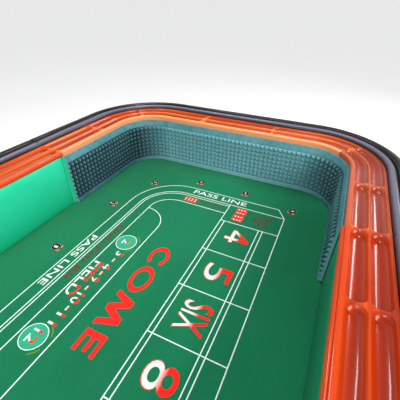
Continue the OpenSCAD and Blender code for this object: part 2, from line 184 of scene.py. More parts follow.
def wood(name, deep, mid, light, finish, coat=0.0, coat_rough=0.1, lengthways=(1, 0, 0), ring=False,
         pore=0.5, painted_groove_shade=None, lip_highlight=None):
    """Straight grained timber. Deep, mid and light are the colours of its grain, and finish is its roughness.

    With ring its grain follows the tub round the corners. Painted_groove_shade is the colour of painted shade
    low in the chip grooves, and lip_highlight the colour of a painted highlight along the chip rail's inner
    edge.
    """
    s = Shade(name)
    vector = s.along_ring() if ring else s.place
    stretch = [3.0 if a else 42.0 for a in lengthways]
    fine = [26.0 if a else 620.0 for a in lengthways]
    grain = s.noise(s.scaled(vector, *stretch), 1.0, 4.0, 0.55, 0.7)
    bands = s.noise(s.scaled(vector, *[v * 0.32 for v in stretch]), 1.0, 2.0, 0.5, 1.4)
    pores = s.noise(s.scaled(vector, *fine), 1.0, 1.0, 0.5)
    figure = s.plus(s.times(grain, 0.6), s.times(bands, 0.4))
    colour = s.ramp(figure, (0.33, deep), (0.5, mid), (0.66, light))
    dark_pores = s.spread(pores, 0.56, 0.72, 0.0, pore)
    colour = s.mix(dark_pores, colour, deep)
    if painted_groove_shade:
        # painted shade: the colour darkens low in the grooves
        z = s.xyz(s.place)[2]
        shade_top, shade_full = RAIL_HIGH[2] - 0.0005, RAIL_HIGH[2] - 0.0105
        colour = s.mix(s.spread(z, shade_top, shade_full, 0.0, 0.88), colour, painted_groove_shade)
    if lip_highlight:
        # painted highlight: the lip is painted paler, up to an uneven line
        outwards = s.minus(s.xyz(vector)[1], EDGE_R)
        uneven = s.plus(outwards, s.times(grain, 0.004))
        highlight_to, highlight_full = 0.0165, 0.011
        colour = s.mix(s.spread(uneven, highlight_to, highlight_full, 0.0, 0.7), colour, lip_highlight)
    wear_and_sheen = s.noise(s.place, 9.0, 4.0, 0.6)
    s.surface(Base_Color=colour, Roughness=s.spread(wear_and_sheen, 0.35, 0.7, finish * 0.85, finish * 1.25))
    if coat:
        s.surface(Coat_Weight=coat, Coat_Roughness=coat_rough, Specular_IOR_Level=0.14)
    height = s.minus(s.times(grain, 0.4), dark_pores)
    s.surface(Normal=s.bump(height, 0.0002, 0.5, s.soft_edges(0.0015)))
    return s.mat


def plywood(name, faces, dark):
    """Sheet of plies with knots in its faces and stripes in its edges."""
    s = Shade(name)
    ply_pair = 0.004
    z = s.xyz(s.place)[2]
    grain = s.noise(s.scaled(s.place, 2.2, 26.0, 26.0), 1.0, 5.0, 0.6, 1.2)
    knots = s.noise(s.scaled(s.place, 2.0, 5.0, 1.0), 1.4, 1.0, 0.5, 2.5)
    colour = s.ramp(grain, (0.3, dark), (0.5, faces), (0.72, scaled_colour(faces, 1.25)))
    colour = s.mix(s.spread(knots, 0.68, 0.76), colour, dark)
    ply = s.math("GREATER_THAN", s.math("FRACT", s.times(z, 1 / ply_pair)), 0.5)
    up = s.xyz(s.node("ShaderNodeNewGeometry").outputs["Normal"])[2]
    edge = s.math("LESS_THAN", s.math("ABSOLUTE", up), 0.5)
    colour = s.mix(s.times(s.times(edge, ply), 0.65), colour, dark)
    s.surface(Base_Color=colour, Roughness=s.spread(grain, 0.2, 0.8, 0.55, 0.8))
    s.surface(Normal=s.bump(grain, 0.0004, 0.5, s.soft_edges(0.001)))
    return s.mat


def metal(name, colour, rough, brushed=(1, 1, 1), wear=0.25):
    """Metal with rolling or brushing marks, handling marks and duller patches."""
    s = Shade(name)
    marks = s.noise(s.scaled(s.place, *brushed), 1.0, 3.0, 0.6)
    patches = s.noise(s.place, 38.0, 5.0, 0.65)
    duller = scaled_colour(colour, 1 - wear)
    s.surface(Base_Color=s.mix(s.spread(patches, 0.35, 0.75), colour, duller), Metallic=1.0)
    s.surface(Roughness=s.spread(marks, 0.25, 0.75, rough * 0.75, rough * 1.4))
    s.surface(Normal=s.bump(marks, 0.00006, 0.6, s.soft_edges(0.0008)))
    return s.mat


def vinyl(name, colour, shade, grain, rough, coat=0.0, depth=0.00035, specular=0.5, foot=None, wear_and_sheen=None,
          far=None):
    """Upholstery vinyl with an embossed leather grain and a slight sheen on the high spots.

    Foot is the colour of painted shade toward the layout, and far the colour of painted shade on the dealers'
    side.
    Wear_and_sheen is the distance from the chip rail's inner edge to a painted highlight line along the
    roll's crown.
    """
    s = Shade(name)
    pebbles = s.cells(s.place, grain)
    creases = s.cells(s.place, grain * 0.45, "DISTANCE_TO_EDGE")
    soft = s.noise(s.place, 11.0, 3.0, 0.5)
    height = s.plus(s.times(pebbles, -0.6), s.spread(creases, 0.0, 0.12, 0.0, 0.5))
    tone = s.spread(s.plus(soft, s.times(pebbles, 0.35)), 0.3, 1.1)
    skin = s.mix(tone, colour, shade)
    # painted shade: the vinyl is darker toward the layout
    if foot:
        skin = s.mix(s.spread(s.xyz(s.place)[2], PANEL_TOP, FELT_Z), skin, foot)
    # painted shade: the vinyl is darker on the dealers' side
    if far:
        skin = s.mix(s.math("GREATER_THAN", s.xyz(s.place)[1], 0.0), skin, far)
    if wear_and_sheen:
        # painted highlight along the crown of the inner roll
        off = s.math("ABSOLUTE", s.minus(s.xyz(s.along_ring())[1], EDGE_R + wear_and_sheen))
        highlight_to, highlight_full = 0.009, 0.002
        skin = s.mix(s.spread(off, highlight_to, highlight_full, 0.0, 0.9), skin, rgb(112, 108, 128))
    s.surface(Base_Color=skin, Roughness=s.spread(pebbles, 0.1, 0.8, rough * 0.85, rough * 1.25))
    if coat:
        s.surface(Coat_Weight=coat, Coat_Roughness=0.16)
    s.surface(Specular_IOR_Level=specular, Normal=s.bump(height, depth, 0.6, s.bump(soft, 0.004, 0.25)))
    return s.mat


def felt_cloth():
    """Napped layout cloth: crossed threads under short fibres, brushed a little unevenly."""
    s = Shade("layout_cloth")
    thread = 0.0011
    x, y = s.xyz(s.place)[:2]
    warp = s.math("SINE", s.times(x, 2 * math.pi / thread))
    weft = s.math("SINE", s.times(y, 2 * math.pi / thread))
    weave = s.times(warp, weft)
    fibres = s.noise(s.place, 1900.0, 2.0, 0.7)
    tufts = s.noise(s.place, 260.0, 3.0, 0.6)
    brushed = s.noise(s.scaled(s.place, 1.6, 3.4, 1.0), 1.0, 3.0, 0.55)
    colour = s.mix(s.spread(brushed, 0.3, 0.7), rgb(8, 104, 66), rgb(16, 127, 84))
    colour = s.mix(s.spread(tufts, 0.35, 0.75, 0.0, 0.45), colour, rgb(8, 86, 50))
    colour = s.mix(s.spread(fibres, 0.5, 0.8, 0.0, 0.35), colour, rgb(56, 168, 118))
    height = s.plus(s.times(fibres, 0.7), s.times(weave, 0.15))
    s.surface(Base_Color=colour, Roughness=0.92, Specular_IOR_Level=0.2)
    s.surface(Sheen_Weight=0.25, Sheen_Roughness=0.4, Sheen_Tint=rgb(120, 220, 160))
    s.surface(Normal=s.bump(height, 0.0005, 0.6))
    return s.mat


def ink(name, colour, top=None):
    """Dye printed into the cloth, so the nap shows through it. Top is the colour of a glyph's upper part."""
    s = Shade(name)
    fibres = s.noise(s.place, 1900.0, 2.0, 0.7)
    patchy = s.noise(s.place, 240.0, 3.0, 0.6)
    base = colour
    if top:
        base = s.mix(s.spread(s.attribute("tone"), 0.42, 0.62), colour, top)
    thin = s.mix(1.0, base, (0.72, 0.8, 0.74, 1.0), "MULTIPLY")
    shown = s.mix(s.spread(patchy, 0.4, 0.8, 0.0, 0.6), base, thin)
    shown = s.mix(s.spread(fibres, 0.62, 0.85, 0.0, 0.35), shown, thin)
    s.surface(Base_Color=shown, Roughness=0.85, Specular_IOR_Level=0.25)
    s.surface(Sheen_Weight=0.1, Sheen_Roughness=0.4)
    s.surface(Normal=s.bump(fibres, 0.0004, 0.5))
    return s.mat


def bumper_rubber():
    """Moulded rubber with dusty patches, painted paler on the end wall as painted light and darker on the
    sides as painted shade.
    """
    s = Shade("bumper_rubber")
    x, y, z = s.xyz(s.place)
    sides = s.spread(s.math("ABSOLUTE", y), CORNER_Y - 0.02, CORNER_Y + 0.115)
    low = s.spread(z, BUMPER_TOP - 0.03, FELT_Z)
    depth = s.attribute("depth")
    dust = s.noise(s.place, 55.0, 5.0, 0.65)
    skin = s.noise(s.place, 900.0, 2.0, 0.6)
    streaks = s.noise(s.scaled(s.place, 9.0, 9.0, 1.5), 1.0, 3.0, 0.6)
    face = s.mix(s.spread(dust, 0.35, 0.7), rgb(52, 112, 122), rgb(80, 144, 150))
    face = s.mix(s.spread(streaks, 0.45, 0.75, 0.0, 0.5), face, rgb(104, 164, 170))
    # painted shade: the side walls are darker
    face = s.mix(s.times(sides, 0.3), face, rgb(34, 98, 110))
    # toward the foot: painted light on the end wall, painted shade on the sides
    foot = s.mix(sides, rgb(136, 192, 196), rgb(30, 74, 82))
    face = s.mix(s.times(low, 0.6), face, foot)
    # in the valleys: painted light on the end wall, painted shade between the points on the sides
    painted_valley_light_and_shade = s.mix(sides, rgb(102, 156, 164), rgb(10, 30, 36))
    colour = s.mix(s.spread(depth, 0.02, 0.9), face, painted_valley_light_and_shade)
    # painted light: the cut ends are painted paler where the light catches them
    lit_cut_end = s.math("LESS_THAN", s.math("ABSOLUTE", x), JOINT_X + 0.0002)
    colour = s.mix(lit_cut_end, colour, rgb(104, 170, 176))
    s.surface(Base_Color=colour, Roughness=s.spread(dust, 0.3, 0.7, 0.42, 0.62), Specular_IOR_Level=0.45)
    s.surface(Normal=s.bump(s.plus(skin, s.times(dust, 0.5)), 0.0002, 0.4))
    return s.mat


def acrylic():
    """Clear plastic with fine scratches and finger marks."""
    s = Shade("clear_acrylic")
    scratches = s.noise(s.scaled(s.place, 900.0, 60.0, 60.0), 1.0, 2.0, 0.5)
    marks = s.noise(s.place, 60.0, 3.0, 0.6)
    rough = s.spread(s.plus(scratches, marks), 0.8, 1.4, 0.04, 0.22)
    s.surface(Base_Color=s.mix(s.spread(marks, 0.4, 0.8), (0.9, 0.96, 0.97, 1), (0.8, 0.9, 0.92, 1)))
    s.surface(Roughness=rough, IOR=1.49, Transmission_Weight=0.85)
    s.surface(Normal=s.bump(scratches, 0.00003, 0.4))
    return s.mat


def painted_steel(name, colour, rough):
    """Sheet steel under textured powder paint, rubbed bright here and there."""
    s = Shade(name)
    orange_peel = s.cells(s.place, 420.0)
    rub = s.noise(s.place, 30.0, 6.0, 0.7)
    lighter = scaled_colour(colour, 2.2, 0.02)
    s.surface(Base_Color=s.mix(s.spread(rub, 0.62, 0.78, 0.0, 0.7), colour, lighter), Metallic=0.2)
    s.surface(Roughness=s.spread(rub, 0.3, 0.7, rough, rough * 1.3))
    s.surface(Normal=s.bump(orange_peel, 0.0002, 0.5, s.soft_edges(0.001)))
    return s.mat


# ---- materials --------------------------------------------------------------
STAINED = rgb(96, 34, 14), rgb(142, 56, 24), rgb(172, 80, 38)
BARE = rgb(150, 104, 58), rgb(186, 142, 88), rgb(208, 170, 114)
UPRIGHT = (0, 0, 1)
ACROSS = (0, 1, 0)
# the lip colours are painted highlights along the rails' inner edges, and the groove colours are painted
# shade low in the grooves
RAIL_WOOD = wood("rail_wood", rgb(134, 32, 0), rgb(178, 52, 4), rgb(204, 74, 12), 0.34, 0.5, 0.06, ring=True,
                 pore=0.35, painted_groove_shade=rgb(156, 38, 0), lip_highlight=rgb(204, 64, 8))
PLAYER_WOOD = wood("rail_wood_orange", rgb(158, 48, 2), rgb(206, 76, 6), rgb(232, 104, 16), 0.4, 0.2, 0.1,
                   ring=True, pore=0.35, painted_groove_shade=rgb(146, 44, 2), lip_highlight=rgb(228, 92, 12))
END_WOOD = wood("rail_wood_pale", rgb(166, 50, 6), rgb(212, 84, 14), rgb(238, 120, 36), 0.36, 0.35, 0.08,
                ring=True, pore=0.3, painted_groove_shade=rgb(130, 34, 2), lip_highlight=rgb(252, 170, 112))
# a browner copy of the rail wood for the dealers' corners: painted shade
TURN_WOOD = wood("rail_wood_brown", rgb(146, 46, 16), rgb(180, 72, 32), rgb(202, 96, 50), 0.34, 0.6, 0.06,
                 ring=True, pore=0.3, painted_groove_shade=rgb(150, 50, 24), lip_highlight=rgb(186, 84, 42))
CAP_WOOD = wood("cap_wood", rgb(176, 48, 2), rgb(212, 68, 4), rgb(230, 90, 10), 0.34, 0.3, 0.08, ring=True,
                pore=0.25)
APRON_WOOD = wood("apron_wood", *STAINED, 0.36, 0.6, 0.14, ring=True)
MOULD_WOOD = wood("moulding_wood", rgb(82, 28, 12), rgb(124, 46, 20), rgb(156, 68, 32), 0.34, 0.7, 0.12,
                  ring=True)
LEG_WOOD = wood("leg_wood", rgb(92, 32, 14), rgb(138, 54, 24), rgb(168, 78, 38), 0.34, 0.65, 0.12,
                lengthways=UPRIGHT)
FRAME_LONG = wood("frame_wood_long", *BARE, 0.62, pore=0.3)
FRAME_CROSS = wood("frame_wood_cross", *BARE, 0.62, lengthways=ACROSS, pore=0.3)
BRACKET_WOOD = wood("bracket_wood", *STAINED, 0.36, 0.6, 0.14, lengthways=UPRIGHT)
DECK_PLY = plywood("deck_plywood", rgb(204, 170, 118), rgb(140, 100, 58))
RAIL_PLY = plywood("subrail_plywood", rgb(178, 136, 86), rgb(112, 76, 42))
# the armrest vinyl has a painted highlight along the crown of its inner roll
BLACK_VINYL = vinyl("black_vinyl", rgb(13, 10, 9), rgb(28, 22, 21), 520.0, 0.3, 0.2, specular=0.14,
                    wear_and_sheen=RAIL_WIDTH + 0.010)
# the green panels' foot colours are painted shade toward the layout
MINT_VINYL = vinyl("green_vinyl", rgb(30, 202, 152), rgb(46, 218, 172), 760.0, 0.3, 0.5, 0.0002,
                   foot=rgb(14, 156, 112))
# a darker copy of the green vinyl for the dealers' panel: painted shade
PAINTED_SHADE_VINYL = vinyl("green_vinyl_painted_shade", rgb(12, 124, 84), rgb(20, 140, 98), 760.0, 0.4, 0.2, 0.0002,
                    foot=rgb(10, 100, 66))
# the trim's far colour is painted shade on the dealers' side
TRIM_VINYL = vinyl("trim_vinyl", rgb(28, 176, 130), rgb(42, 198, 150), 760.0, 0.4, 0.2, 0.0002,
                   far=rgb(8, 78, 52))
ZINC = metal("zinc_steel", rgb(196, 200, 204), 0.34, (60.0, 60.0, 900.0))
BRASS = metal("slot_brass", rgb(226, 186, 96), 0.24, (30.0, 900.0, 30.0), 0.2)
CHUTE = metal("chute_steel", rgb(168, 172, 176), 0.4, (400.0, 400.0, 20.0))
BOX_PAINT = painted_steel("box_steel", rgb(44, 46, 50), 0.42)
CLEAR = acrylic()
RUBBER = bumper_rubber()
CLOTH = felt_cloth()

# looks of the CAD nodes: the longest key that a node's name starts with is its own
FINISH = {
    "deck_panel": DECK_PLY, "wall": APRON_WOOD, "panel_cap": CAP_WOOD, "trim_strips": TRIM_VINYL,
    "rail_end": END_WOOD, "rail_elbow": END_WOOD, "rail_turn": END_WOOD, "rail_turn_left_dealer": TURN_WOOD,
    "rail_turn_right_dealer": TURN_WOOD, "rail_player": PLAYER_WOOD, "rail_dealer": RAIL_WOOD,
    "subrail": RAIL_PLY, "rail_brackets": BRACKET_WOOD, "base_moulding": MOULD_WOOD,
    "beam_": FRAME_LONG, "cross_beams": FRAME_CROSS, "leg_left": LEG_WOOD, "leg_right": LEG_WOOD,
    "foot": ZINC, "leg_bolts": ZINC, "bill_slot_plate": BRASS, "bill_chute": CHUTE,
    "drop_box": BOX_PAINT, "drop_box_runners": ZINC, "bill_paddle": CLEAR,
}
for node_name, node_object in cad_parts.items():
    matches = [key for key in FINISH if node_name.startswith(key)]
    if matches:
        for material_slot in node_object.material_slots:
            material_slot.material = FINISH[max(matches, key=len)]


# ---- mesh helpers -----------------------------------------------------------
def add_piece(name, points, faces, material, smooth=40.0):
    """Makes an object from points and faces, turns its faces outwards and shades it."""
    mesh = bpy.data.meshes.new(name)
    mesh.from_pydata(points, [], faces)
    shell = bmesh.new()
    shell.from_mesh(mesh)
    bmesh.ops.recalc_face_normals(shell, faces=shell.faces)
    shell.to_mesh(mesh)
    shell.free()
    mesh.validate()
    mesh.materials.append(material)
    piece = bpy.data.objects.new(name, mesh)
    bpy.context.scene.collection.objects.link(piece)
    for polygon in mesh.polygons:
        polygon.use_smooth = True
    mesh.set_sharp_from_angle(angle=math.radians(smooth))
    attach(piece, "table")
    return piece


def add_values(piece, name, values):
    """One number for each point of a piece, which its material reads."""
    layer = piece.data.attributes.new(name, "FLOAT", "POINT")
    layer.data.foreach_set("value", values)


def end_path(sx, length, out, radius):
    """A point at a length round one end and a distance outwards.

    Lengths start on the player side, at the rail joint, and are measured where the corners have this radius.
    """
    side = CORNER_X - JOINT_X
    quarter = radius * math.pi / 2
    half = side + quarter + CORNER_Y
    flip = -1.0 if length <= half else 1.0
    run = min(length, 2 * half - length)
    if run <= side:
        x, y = JOINT_X + run, EDGE_Y + out
    elif run <= side + quarter:
        angle = math.pi / 2 - (run - side) / radius
        x = CORNER_X + (EDGE_R + out) * math.cos(angle)
        y = CORNER_Y + (EDGE_R + out) * math.sin(angle)
    else:
        x, y = EDGE_X + out, CORNER_Y - (run - side - quarter)
    return sx * x, flip * y


def end_length(radius):
    """Whole length of that path."""
    return 2 * (CORNER_X - JOINT_X) + math.pi * radius + 2 * CORNER_Y


def ring_faces(count, rings, closed=False):
    """Faces round a row of rings of so many points each, with a cap at both ends unless the row is closed."""
    faces = []
    for i in range(rings if closed else rings - 1):
        a, b = i * count, (i + 1) % rings * count
        for j in range(count):
            k = (j + 1) % count
            faces.append((a + j, a + k, b + k, b + j))
    if not closed:
        last = (rings - 1) * count
        faces += [tuple(range(count - 1, -1, -1)), tuple(range(last, last + count))]
    return faces


# ---- layout cloth -----------------------------------------------------------
def rounded_plan(out, steps=16):
    """Outline of the tub at a distance outside the chip rail's inner edge."""
    plan = []
    for quarter, (sx, sy) in enumerate(((1, 1), (-1, 1), (-1, -1), (1, -1))):
        for i in range(steps + 1):
            angle = math.pi / 2 * (quarter + i / steps)
            x = sx * CORNER_X + (EDGE_R + out) * math.cos(angle)
            y = sy * CORNER_Y + (EDGE_R + out) * math.sin(angle)
            plan.append((x, y))
    return plan


def make_cloth():
    """The printed cloth, with its upper edge rounded over and a hole round the bill slot's plate."""
    out = CLOTH_HIGH[0] - EDGE_X
    low, high = CLOTH_LOW[2], CLOTH_HIGH[2]
    plate_low, plate_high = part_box("bill_slot_plate")
    play = 0.0005
    x0, y0 = plate_low[0] - play, plate_low[1] - play
    x1, y1 = plate_high[0] + play, plate_high[1] + play
    hole = [(x1, y1), (x0, y1), (x0, y0), (x1, y0)]
    levels = [(out, low), (out, high - 0.0012), (out - 0.0004, high - 0.0004), (out - 0.0012, high)]
    shell = bmesh.new()
    loops = [[shell.verts.new((x, y, z)) for x, y in rounded_plan(o)] for o, z in levels]
    hole_loops = [[shell.verts.new((x, y, z)) for x, y in hole] for z in (low, high)]
    for rings in (loops, hole_loops):
        for a, b in zip(rings, rings[1:]):
            for i in range(len(a)):
                j = (i + 1) % len(a)
                shell.faces.new((a[i], a[j], b[j], b[i]))
    for outer, inner in ((loops[0], hole_loops[0]), (loops[-1], hole_loops[-1])):
        edges = []
        for ring in (outer, inner):
            for i in range(len(ring)):
                edges.append(shell.edges.get((ring[i], ring[(i + 1) % len(ring)])))
        bmesh.ops.triangle_fill(shell, use_beauty=True, edges=edges)
    points = [tuple(v.co) for v in shell.verts]
    shell.verts.index_update()
    faces = [tuple(v.index for v in f.verts) for f in shell.faces]
    shell.free()
    cloth = add_piece("layout_cloth", points, faces, CLOTH)
    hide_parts("layout_felt")


# ---- printing on the cloth, in millimetres ----------------------------------
LINE_W = 2.8
SLIGHT, BOLD, HEAVY = 0.006, 0.008, 0.012      # how much thicker than plain the lettering is
# heights of the printed layers over the cloth in metres, so that none lies in another's plane
RISE_A, RISE_B, RISE_C, RISE_D = 0.00030, 0.00036, 0.00042, 0.00048
PRINT_LOW = FELT_Z - 0.0002                    # foot of every print, just under the cloth's face
# lines across the table, as distances from its middle
PASS_OUT, PASS_IN, BAR_OUT, BAR_IN = 1451.0, 1402.0, 1390.0, 1342.0
BOXES_OUT, BOX_STEP = 1299.0, 160.0
BOXES_IN = BOXES_OUT - 6 * BOX_STEP
# lines along the table, as places across it
ROW_A, ROW_B, ROW_C, ROW_D, ROW_E = 94.0, 109.0, 236.0, 250.0, 303.0
SIDE_0, SIDE_1, SIDE_2, SIDE_3, SIDE_4 = -275.0, -235.0, -225.0, -184.0, -90.0
TURN_X, TURN_Y = 1264.0, -90.0                 # centre of the round corners of the lines
FIELD_Y, DISC_Y = -128, -142                   # the field's row of numbers and its two discs
prints = {}


def keep_print(colour, points, faces, tones=None):
    """Adds a shape to those of its colour. Tones tell how far up its letter each point is."""
    group = prints.setdefault(colour, ([], [], []))
    base = len(group[0])
    group[0].extend(points)
    group[1].extend(tuple(base + i for i in f) for f in faces)
    group[2].extend(tones or [0.0] * len(points))


def flat_shape(colour, outline, rise, span=None):
    """A filled outline with its top at rise above the cloth. Span is the foot and the head of its letter."""
    tones = [(y - span[0]) / (span[1] - span[0]) for x, y in outline] * 2 if span else None
    points = [(x * MM, y * MM, z) for z in (PRINT_LOW, FELT_Z + rise) for x, y in outline]
    keep_print(colour, points, ring_faces(len(outline), 2), tones)


def block(colour, x, y, width, height, rise, span=None):
    """A filled rectangle round a middle."""
    x0, x1, y0, y1 = x - width / 2, x + width / 2, y - height / 2, y + height / 2
    flat_shape(colour, [(x0, y0), (x1, y0), (x1, y1), (x0, y1)], rise, span)


def arc(cx, cy, rx, ry, a0, a1, steps=20):
    """Points of an elliptical arc between two angles in degrees."""
    angles = [math.radians(a0 + (a1 - a0) * i / steps) for i in range(steps + 1)]
    return [(cx + rx * math.cos(a), cy + ry * math.sin(a)) for a in angles]


def disc(colour, x, y, radius, rise, steps=40):
    """A filled circle."""
    flat_shape(colour, arc(x, y, radius, radius, 0, 360, steps)[:-1], rise)


def curved_stroke(colour, cx, cy, outer, inner, a0, a1, rise, steps=40):
    """A stroke of an upright letter between an outer and an inner ellipse."""
    there = arc(cx, cy, *outer, a0, a1, steps)
    flat_shape(colour, there + arc(cx, cy, *inner, a1, a0, steps), rise)


def band(colour, path, width, rise, closed=False):
    """A line of even width along a path, with mitred bends."""
    n = len(path)
    left, right = [], []
    for i, point in enumerate(path):
        here = Vector(point)
        before = Vector(path[i - 1]) if closed or i > 0 else None
        after = Vector(path[(i + 1) % n]) if closed or i < n - 1 else None
        a = (here - before).normalized() if before else (after - here).normalized()
        b = (after - here).normalized() if after else a
        along = (a + b).normalized()
        side = Vector((-along.y, along.x)) * (width / 2 / max(0.35, along.dot(a)))
        left.append(here + side)
        right.append(here - side)
    high = FELT_Z + rise
    points = []
    for l, r in zip(left, right):
        corners = ((l, PRINT_LOW), (r, PRINT_LOW), (r, high), (l, high))
        points += [(place.x * MM, place.y * MM, z) for place, z in corners]
    keep_print(colour, points, ring_faces(4, n, closed))


def lettering(colour, text, middle, size, rise, turn=0, weight=0.0):
    """Generic lettering that fills a box of the given size, turned by quarter turns."""
    curve = bpy.data.curves.new("glyphs", "FONT")
    curve.body = text
    curve.resolution_u = 4
    curve.extrude = 0.1
    curve.offset = weight
    curve.space_line = 0.85
    curve.align_x = "CENTER"
    holder = bpy.data.objects.new("glyphs", curve)
    bpy.context.scene.collection.objects.link(holder)
    mesh = bpy.data.meshes.new_from_object(holder.evaluated_get(bpy.context.evaluated_depsgraph_get()))
    shell = bmesh.new()
    shell.from_mesh(mesh)
    bmesh.ops.remove_doubles(shell, verts=shell.verts, dist=0.0001)
    xs = [v.co.x for v in shell.verts]
    ys = [v.co.y for v in shell.verts]
    x0, x1, y0, y1 = min(xs), max(xs), min(ys), max(ys)
    spin = Matrix.Rotation(math.pi / 2 * turn, 2)
    points, tones = [], []
    for v in shell.verts:
        u = (v.co.x - x0) / (x1 - x0)
        w = (v.co.y - y0) / (y1 - y0)
        place = spin @ Vector(((u - 0.5) * size[0], (w - 0.5) * size[1]))
        x, y = middle[0] + place.x, middle[1] + place.y
        points.append((x * MM, y * MM, FELT_Z + rise if v.co.z > 0 else PRINT_LOW))
        tones.append(w)
    shell.verts.index_update()
    faces = [tuple(v.index for v in f.verts) for f in shell.faces]
    shell.free()
    bpy.data.objects.remove(holder)
    bpy.data.curves.remove(curve)
    bpy.data.meshes.remove(mesh)
    keep_print(colour, points, faces, tones)


def figure(colour, label, x, y, width, height, rise, weight=0.0):
    """A number or a word. The 4 is drawn upright, in four pieces that meet edge to edge."""
    if label != "4":
        lettering(colour, label, (x, y), (width, height), rise, weight=weight)
        return
    pieces = [
        [(0.12, -0.5), (0.31, -0.5), (0.31, 0.5), (0.12, 0.5)],
        [(-0.5, -0.27), (0.12, -0.27), (0.12, -0.13), (-0.5, -0.13)],
        [(0.31, -0.27), (0.5, -0.27), (0.5, -0.13), (0.31, -0.13)],
        [(-0.5, -0.13), (-0.29, -0.13), (0.12, 0.28), (0.12, 0.5)],
    ]
    span = (y - height / 2, y + height / 2)
    for piece in pieces:
        flat_shape(colour, [(x + u * width, y + v * height) for u, v in piece], rise, span)


def come_word(cx, cy):
    """The generic bet name in wide upright letters, 380 mm long and 62 mm high."""
    curved_stroke("red", cx - 121, cy, (43, 31), (27, 21), 38, 322, RISE_C)
    for a in (0, 180):
        curved_stroke("red", cx - 24, cy, (49, 32), (32, 22), a, a + 180, RISE_C)
    m_shape = [(-57, -31), (-36, 31), (-18, 31), (0, -4), (18, 31), (36, 31), (57, -31), (39, -31), (25, 3),
               (8, -31), (-8, -31), (-25, 3), (-39, -31)]
    flat_shape("red", [(cx + 88 + x, cy + y) for x, y in m_shape], RISE_C)
    e_shape = [(-29, -31), (-29, 31), (29, 31), (29, 20), (-13, 20), (-13, 6), (23, 6), (23, -5), (-13, -5),
               (-13, -20), (29, -20), (29, -31)]
    flat_shape("red", [(cx + 187 + x, cy + y) for x, y in e_shape], RISE_C)


DIAGONAL = [(-1, -1), (1, 1)]
CORNERS = [(-1, -1), (1, -1), (-1, 1), (1, 1)]
PIPS = {1: [(0, 0)], 2: DIAGONAL, 3: DIAGONAL + [(0, 0)], 4: CORNERS, 5: CORNERS + [(0, 0)],
        6: CORNERS + [(-1, 0), (1, 0)]}


def die(x, y, width, height, pips, turned=False):
    """A red die face with white pips, which stand the other way round if it is turned."""
    block("red", x, y, width, height, RISE_C)
    for u, v in PIPS[pips]:
        if turned:
            u, v = v, u
        disc("white", x + u * width * 0.28, y + v * height * 0.28, min(width, height) * 0.095, RISE_D, 16)


def print_half(s):
    """Prints one end's betting layout. s is -1 for the left end and 1 for the right."""
    def line(points, rise=RISE_A):
        band("white", [(s * x, y) for x, y in points], LINE_W, rise)

    mid = BOXES_IN
    facing = 1 if s < 0 else 3
    # the lines that turn round the end: place along the side, place at the end, last points and layer
    turning = (
        (SIDE_0, PASS_OUT, [(PASS_OUT, 272), (PASS_IN, ROW_E)], RISE_A),
        (SIDE_1, PASS_IN, [(PASS_IN, ROW_E + LINE_W / 2)], RISE_B),
        (SIDE_2, BAR_OUT, [(BAR_OUT, ROW_A)], RISE_A),
        (SIDE_3, BAR_IN, [(BAR_IN, ROW_A)], RISE_B),
    )
    for side, end, last, rise in turning:
        bend = arc(TURN_X, TURN_Y, end - TURN_X, TURN_Y - side, -90, 0)
        line([(mid, side), (TURN_X, side)] + bend[1:] + last, rise)
    line(arc(1160, SIDE_3, 89, SIDE_4 - SIDE_3, 0, 90) + [(mid, SIDE_4)], RISE_C)
    line([(PASS_IN, ROW_A), (mid, ROW_A)], RISE_C)
    for row in (ROW_B, ROW_C, ROW_D):
        line([(BOXES_OUT, row), (mid, row)])
    line([(PASS_IN, ROW_E), (mid, ROW_E)])
    for i in range(7):
        x = BOXES_OUT - BOX_STEP * i
        line([(x, ROW_A), (x, ROW_E)], RISE_B)
    line([(mid, SIDE_0), (mid, ROW_E)], RISE_D)

    lettering("white", "PASS LINE", (s * 921, -256), (228, 22), RISE_C, weight=SLIGHT)
    lettering("white", "PASS LINE", (s * 1428, 38), (225, 24), RISE_C, facing, SLIGHT)
    lettering("maroon", "Don't Pass Bar", (s * 980, -207), (268, 21), RISE_C)
    lettering("maroon", "Don't Pass Bar", (s * 1368, 27), (94, 12), RISE_C, facing)
    for y in (-76, -49):
        die(s * 1367, y, 26, 24, 6, turned=True)
    lettering("maroon", "Don't\nCome\nBar", (s * 1350, 232), (66, 58), RISE_C, weight=HEAVY)
    for x in (1376, 1333):
        die(s * x, 147, 34, 40, 6)

    # field: the word, the numbers over it with dashes between them, and the two double paying discs
    lettering("split", "FIELD", (s * 880, -161), (132, 33), RISE_C, weight=BOLD)
    numbers = ((1000, "3", 17), (939, "4", 20), (887, "9", 17), (816, "10", 34), (747, "11", 34))
    for x, label, width in numbers:
        figure("split", label, s * x, FIELD_Y, width, 27, RISE_C, BOLD)
    for x in (970, 913, 854, 782):
        block("split", s * x, FIELD_Y, 14, 6, RISE_C, (FIELD_Y - 3, FIELD_Y + 3))
    for x, label, width in ((1053, "2", 20), (690, "12", 36)):
        disc("white", s * x, DISC_Y, 34.6, RISE_A, 56)
        disc("mint", s * x, DISC_Y, 32.5, RISE_B, 56)
        figure("split", label, s * x, DISC_Y, width, 29, RISE_C, BOLD)
        for side in (-1, 1):
            band("gold", arc(s * x, DISC_Y, 43, 43, 90 + side * 60, 90 + side * 22, 8), 3, RISE_A)

    # come and the six point boxes, whose figures are printed red under a smaller fading one
    come_word(s * 922, -10)
    boxes_start = -BOXES_OUT if s < 0 else BOXES_IN
    figure_y = (ROW_B + ROW_C) / 2 + 8
    boxes = (("4", 62, -14), ("5", 62, 0), ("SIX", 88, 0), ("8", 62, 0), ("NINE", 120, 0), ("10", 94, 0))
    for i, (label, width, shift) in enumerate(boxes):
        x = boxes_start + BOX_STEP * (i + 0.5) + shift
        figure("red", label, x, figure_y, width + 4, 84, RISE_B)
        figure("fade", label, x, figure_y, width, 80, RISE_C)


